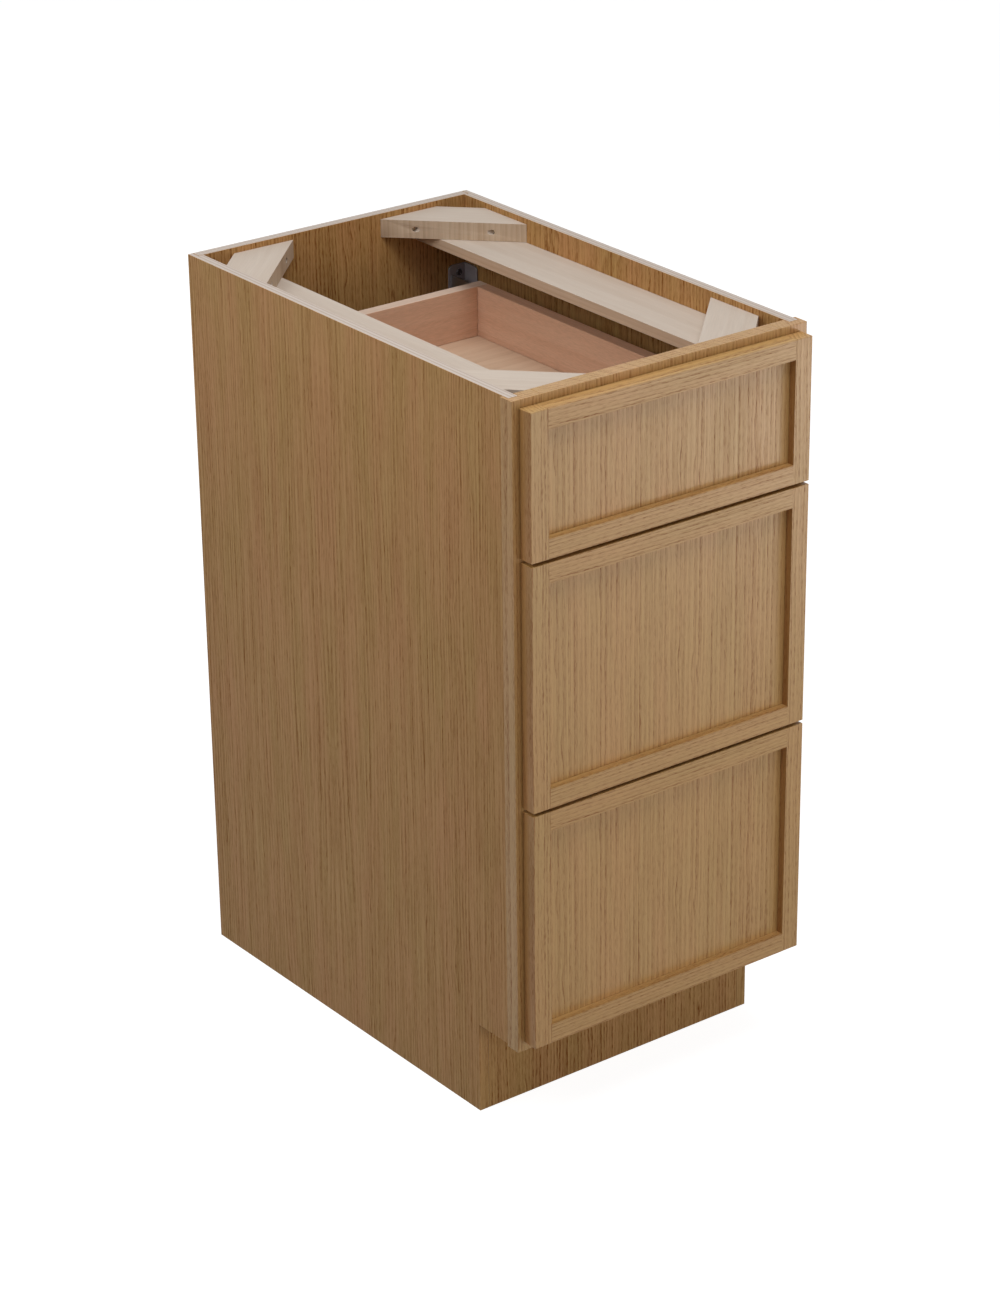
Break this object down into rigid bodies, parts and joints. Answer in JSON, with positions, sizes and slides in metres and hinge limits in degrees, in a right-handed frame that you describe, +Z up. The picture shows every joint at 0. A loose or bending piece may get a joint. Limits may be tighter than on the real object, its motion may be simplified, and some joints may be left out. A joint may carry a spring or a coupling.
{
  "type": "base cabinet with drawers",
  "caption": "Kitchen base cabinet in oak: a face-framed plywood case, open at the top for a worktop, with recessed-panel drawer fronts, dovetailed boxes and full-extension slides.",
  "frame": {"origin": "on the floor, at the middle of the cabinet's bounding box", "axes": "+X to the right seen from the front, +Y towards the wall, so the drawers open along -Y, +Z up"},
  "size_m": [0.4, 0.6294, 0.8763],
  "materials": {
    "oak": "clear satin",
    "oak_plywood": "clear satin veneer",
    "raw_plywood": "raw, sanded",
    "drawer_box_wood": "clear satin",
    "slide_steel": "zinc plated"
  },
  "bodies": {
    "case": {"side_panel_left": "oak_plywood", "side_panel_right": "oak_plywood", "back_panel": "oak_plywood", "bottom_panel": "oak_plywood", "toe_kick_board": "oak_plywood", "stile_left": "oak", "stile_right": "oak", "top_rail": "oak", "upper_middle_rail": "oak", "lower_middle_rail": "oak", "bottom_rail": "oak", "stretcher_left": "raw_plywood", "stretcher_right": "raw_plywood", "corner_block_front_left": "raw_plywood", "corner_block_front_right": "raw_plywood", "corner_block_rear_left": "raw_plywood", "corner_block_rear_right": "raw_plywood", "top_slide_left_cabinet_member": "slide_steel", "top_slide_right_cabinet_member": "slide_steel", "middle_slide_left_cabinet_member": "slide_steel", "middle_slide_right_cabinet_member": "slide_steel", "bottom_slide_left_cabinet_member": "slide_steel", "bottom_slide_right_cabinet_member": "slide_steel"},
    "top_drawer": {"top_front_frame": "oak", "top_front_panel": "oak", "top_box_left": "drawer_box_wood", "top_box_right": "drawer_box_wood", "top_box_front": "drawer_box_wood", "top_box_rear": "drawer_box_wood", "top_box_floor": "drawer_box_wood", "top_slide_left_drawer_member": "slide_steel", "top_slide_right_drawer_member": "slide_steel"},
    "top_runners": {"top_slide_left_middle_member": "slide_steel", "top_slide_right_middle_member": "slide_steel"},
    "middle_drawer": {"middle_front_frame": "oak", "middle_front_panel": "oak", "middle_box_left": "drawer_box_wood", "middle_box_right": "drawer_box_wood", "middle_box_front": "drawer_box_wood", "middle_box_rear": "drawer_box_wood", "middle_box_floor": "drawer_box_wood", "middle_slide_left_drawer_member": "slide_steel", "middle_slide_right_drawer_member": "slide_steel"},
    "middle_runners": {"middle_slide_left_middle_member": "slide_steel", "middle_slide_right_middle_member": "slide_steel"},
    "bottom_drawer": {"bottom_front_frame": "oak", "bottom_front_panel": "oak", "bottom_box_left": "drawer_box_wood", "bottom_box_right": "drawer_box_wood", "bottom_box_front": "drawer_box_wood", "bottom_box_rear": "drawer_box_wood", "bottom_box_floor": "drawer_box_wood", "bottom_slide_left_drawer_member": "slide_steel", "bottom_slide_right_drawer_member": "slide_steel"},
    "bottom_runners": {"bottom_slide_left_middle_member": "slide_steel", "bottom_slide_right_middle_member": "slide_steel"}
  },
  "joints": [
    {"name": "top_drawer_slide", "type": "slide", "parent": "case", "child": "top_drawer", "axis": [0, -1, 0], "range_m": [0, 0.508]},
    {"name": "top_runners_slide", "type": "slide", "parent": "case", "child": "top_runners", "axis": [0, -1, 0], "range_m": [0, 0.254]},
    {"name": "middle_drawer_slide", "type": "slide", "parent": "case", "child": "middle_drawer", "axis": [0, -1, 0], "range_m": [0, 0.508]},
    {"name": "middle_runners_slide", "type": "slide", "parent": "case", "child": "middle_runners", "axis": [0, -1, 0], "range_m": [0, 0.254]},
    {"name": "bottom_drawer_slide", "type": "slide", "parent": "case", "child": "bottom_drawer", "axis": [0, -1, 0], "range_m": [0, 0.508]},
    {"name": "bottom_runners_slide", "type": "slide", "parent": "case", "child": "bottom_runners", "axis": [0, -1, 0], "range_m": [0, 0.254]}
  ],
  "couplings": [
    {"joint": "top_runners_slide", "follows": "top_drawer_slide", "ratio": 0.5},
    {"joint": "middle_runners_slide", "follows": "middle_drawer_slide", "ratio": 0.5},
    {"joint": "bottom_runners_slide", "follows": "bottom_drawer_slide", "ratio": 0.5}
  ]
}
